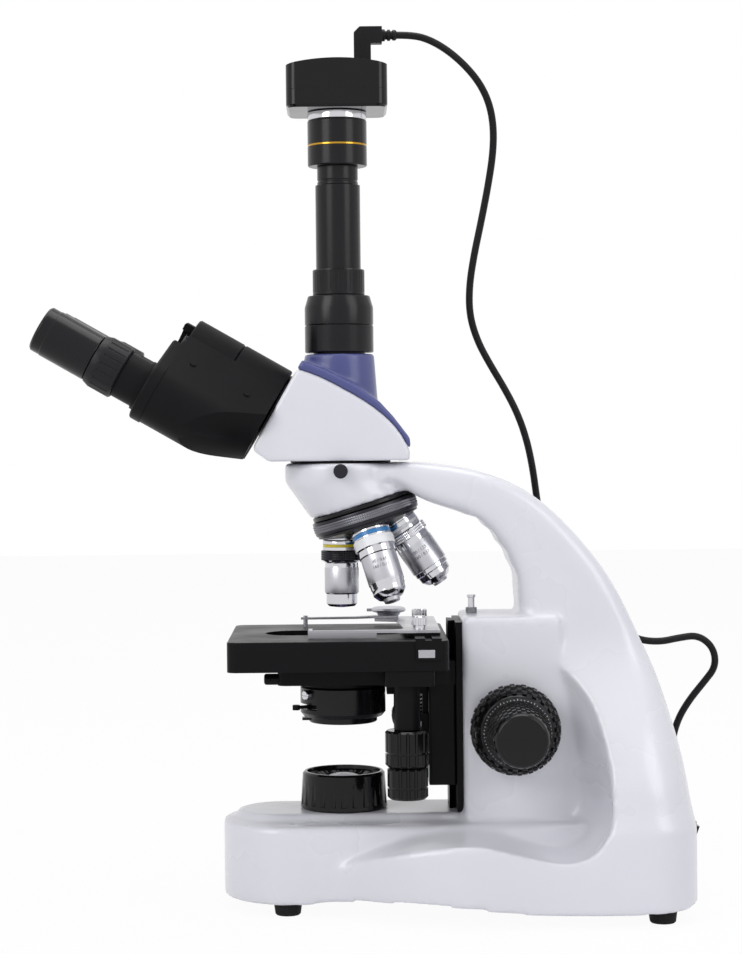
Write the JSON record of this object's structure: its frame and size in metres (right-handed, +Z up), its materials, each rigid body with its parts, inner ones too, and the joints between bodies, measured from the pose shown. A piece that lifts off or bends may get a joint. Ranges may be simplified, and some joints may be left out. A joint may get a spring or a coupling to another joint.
{
  "type": "trinocular microscope",
  "caption": "Upright laboratory microscope with a tilted eyepiece pair, a revolving nosepiece, a mechanical stage, a lit base and a camera on a vertical photo tube.",
  "frame": {"origin": "On the bench, under the middle of the microscope without its loose cable.", "axes": "+Z up; +X from the user to the arm at the back; +Y from the user's right to the left, across the plane of symmetry."},
  "size_m": [0.4167, 0.27, 0.5255],
  "materials": {
    "white_paint": "gloss",
    "blue_paint": "gloss",
    "black_plastic": "satin",
    "black_gloss": "gloss",
    "black_paint": "satin",
    "stage_paint": "gloss",
    "bright_metal": "satin",
    "satin_steel": "satin",
    "dark_metal": "satin",
    "objective_metal": "satin",
    "optical_glass": "polished",
    "foot_rubber": "matte",
    "circuit_board": "matte",
    "cable_jacket": "matte",
    "grey_steel": "satin"
  },
  "bodies": {
    "stand": {"stand_casting": "white_paint", "bottom_cover": "grey_steel", "rubber_feet": "foot_rubber", "collector_ring": "black_plastic", "field_lens": "optical_glass", "lamp_unit": "satin_steel", "power_board": "circuit_board", "rear_sockets": "black_plastic", "guide_rail": "satin_steel", "focus_bushes": "dark_metal", "nosepiece_mount": "black_paint", "usb_cable": "cable_jacket", "cable_coil": "cable_jacket", "usb_plug": "cable_jacket"},
    "power_rocker": {"switch_rocker": "black_plastic"},
    "light_dial": {"brightness_dial": "black_plastic"},
    "lift_stop": {"limit_nut": "bright_metal"},
    "drag_collar": {"tension_collar": "black_plastic"},
    "coarse_drive": {"coarse_knobs": "black_plastic", "scale_rings": "black_plastic"},
    "fine_drive": {"fine_knobs": "black_plastic"},
    "nosepiece": {"nosepiece_turret": "dark_metal", "objective_4x": "objective_metal", "objective_10x": "objective_metal", "objective_40x": "objective_metal", "objective_100x": "objective_metal"},
    "stage_carriage": {"stage_bracket": "black_paint", "stage_bed": "black_paint"},
    "stage": {"stage_plate": "stage_paint", "cross_guide": "black_paint", "coax_housing": "black_paint"},
    "fore_aft_drive": {"fore_aft_knob": "black_plastic"},
    "cross_drive": {"cross_knob": "black_plastic"},
    "slide_carrier": {"slide_holder": "bright_metal"},
    "clamp_finger": {"holder_finger": "bright_metal"},
    "condenser": {"condenser_carrier": "bright_metal", "condenser_body": "black_paint", "condenser_lens": "optical_glass"},
    "condenser_drive": {"condenser_knob": "black_plastic"},
    "iris": {"iris_lever": "black_paint"},
    "filter_ring": {"filter_holder": "black_paint"},
    "head": {"head_dovetail": "black_paint", "head_housing": "white_paint", "head_cover": "blue_paint", "head_prism": "optical_glass", "tube_bracket": "black_paint", "photo_port": "black_paint", "photo_tube": "black_paint", "camera_adapter": "black_paint", "camera_lower": "black_gloss", "camera_upper": "black_gloss", "camera_plug": "black_plastic"},
    "head_lock": {"head_lock_screw": "black_plastic"},
    "right_tube": {"right_box": "black_paint"},
    "left_tube": {"left_box": "black_paint"},
    "right_focus": {"right_diopter": "black_plastic"},
    "left_focus": {"left_diopter": "black_plastic"},
    "right_ocular": {"right_eyepiece": "black_gloss"},
    "left_ocular": {"left_eyepiece": "black_gloss"},
    "port_lock": {"lock_collar": "satin_steel"}
  },
  "joints": [
    {"name": "power_switch", "type": "hinge", "parent": "stand", "child": "power_rocker", "pos_m": [0.19, -0.034, 0.046], "axis": [0, 1, 0], "range_deg": [-13, 0]},
    {"name": "light_level", "type": "hinge", "parent": "stand", "child": "light_dial", "pos_m": [0.097, 0.08, 0.026], "axis": [0, 1, 0], "range_deg": [-150, 120]},
    {"name": "lift_stop_turn", "type": "hinge", "parent": "stand", "child": "lift_stop", "pos_m": [0.0645, 0, 0.175], "axis": [0, 0, 1], "range_deg": [-180, 180]},
    {"name": "drag_adjust", "type": "hinge", "parent": "stand", "child": "drag_collar", "pos_m": [0.087, -0.035, 0.109], "axis": [0, 1, 0], "range_deg": [-60, 60]},
    {"name": "stage_lift", "type": "slide", "parent": "stand", "child": "stage_carriage", "axis": [0, 0, 1], "range_m": [-0.012, 0.01]},
    {"name": "coarse_focus", "type": "hinge", "parent": "stand", "child": "coarse_drive", "pos_m": [0.087, 0, 0.109], "axis": [0, 1, 0], "range_deg": [-98.5, 82]},
    {"name": "fine_focus", "type": "hinge", "parent": "stand", "child": "fine_drive", "pos_m": [0.087, 0, 0.109], "axis": [0, 1, 0], "continuous": true},
    {"name": "nosepiece_turn", "type": "hinge", "parent": "stand", "child": "nosepiece", "pos_m": [-0.013, 0, 0.2805], "axis": [0.2924, 0, -0.9563], "continuous": true},
    {"name": "stage_fore_aft", "type": "slide", "parent": "stage_carriage", "child": "stage", "axis": [1, 0, 0], "range_m": [-0.024, 0.001]},
    {"name": "fore_aft_turn", "type": "hinge", "parent": "stage", "child": "fore_aft_drive", "pos_m": [0.024, -0.05, 0.1], "axis": [0, 0, 1], "range_deg": [-197, 8.5]},
    {"name": "slide_cross", "type": "slide", "parent": "stage", "child": "slide_carrier", "axis": [0, 1, 0], "range_m": [-0.03, 0.03]},
    {"name": "cross_turn", "type": "hinge", "parent": "stage", "child": "cross_drive", "pos_m": [0.024, -0.05, 0.08], "axis": [0, 0, 1], "range_deg": [-344.5, 344.5]},
    {"name": "finger_open", "type": "hinge", "parent": "slide_carrier", "child": "clamp_finger", "pos_m": [0.0158, 0.0495, 0.168], "axis": [0, 0, 1], "range_deg": [-20, 0], "stiffness_Nm_per_rad": 0.05, "springref_deg": 5.73},
    {"name": "condenser_lift", "type": "slide", "parent": "stage_carriage", "child": "condenser", "axis": [0, 0, 1], "range_m": [-0.012, 0.001]},
    {"name": "condenser_turn", "type": "hinge", "parent": "stage_carriage", "child": "condenser_drive", "pos_m": [0.03, 0, 0.1095], "axis": [0, 1, 0], "range_deg": [-16.5, 197]},
    {"name": "iris_open", "type": "hinge", "parent": "condenser", "child": "iris", "pos_m": [-0.013, 0, 0.1195], "axis": [0, 0, 1], "range_deg": [-70, 16]},
    {"name": "filter_swing", "type": "hinge", "parent": "condenser", "child": "filter_ring", "pos_m": [-0.0195, 0.0205, 0.111], "axis": [0, 0, 1], "range_deg": [-90, 0]},
    {"name": "head_swivel", "type": "hinge", "parent": "stand", "child": "head", "pos_m": [-0.013, 0, 0.265], "axis": [0, 0, 1], "continuous": true, "deforming": ["usb_cable"]},
    {"name": "head_lock_turn", "type": "hinge", "parent": "stand", "child": "head_lock", "pos_m": [-0.013, -0.034, 0.2599], "axis": [0, -1, 0], "range_deg": [-90, 180]},
    {"name": "right_ipd", "type": "hinge", "parent": "head", "child": "right_tube", "pos_m": [-0.0526, 0, 0.2993], "axis": [-0.866, 0, 0.5], "range_deg": [-14.6, 13.4]},
    {"name": "left_ipd", "type": "hinge", "parent": "head", "child": "left_tube", "pos_m": [-0.0526, 0, 0.2993], "axis": [-0.866, 0, 0.5], "range_deg": [-13.4, 14.6]},
    {"name": "right_diopter_turn", "type": "hinge", "parent": "right_tube", "child": "right_focus", "pos_m": [-0.14776, -0.032, 0.32248], "axis": [-0.866, 0, 0.5], "range_deg": [-90, 90]},
    {"name": "left_diopter_turn", "type": "hinge", "parent": "left_tube", "child": "left_focus", "pos_m": [-0.14776, 0.032, 0.32248], "axis": [-0.866, 0, 0.5], "range_deg": [-90, 90]},
    {"name": "right_eyepiece_draw", "type": "slide", "parent": "right_tube", "child": "right_ocular", "axis": [-0.866, 0, 0.5], "range_m": [0, 0.04]},
    {"name": "left_eyepiece_draw", "type": "slide", "parent": "left_tube", "child": "left_ocular", "axis": [-0.866, 0, 0.5], "range_m": [0, 0.04]},
    {"name": "port_lock_turn", "type": "hinge", "parent": "head", "child": "port_lock", "pos_m": [-0.013, 0, 0.372], "axis": [0, 0, 1], "range_deg": [-60, 60]}
  ],
  "couplings": [
    {"joint": "coarse_focus", "follows": "stage_lift", "rad_per_m": 142.86},
    {"joint": "fore_aft_turn", "follows": "stage_fore_aft", "rad_per_m": 142.86},
    {"joint": "cross_turn", "follows": "slide_cross", "rad_per_m": 200},
    {"joint": "condenser_turn", "follows": "condenser_lift", "rad_per_m": -285.71},
    {"joint": "left_ipd", "follows": "right_ipd", "ratio": -1}
  ]
}
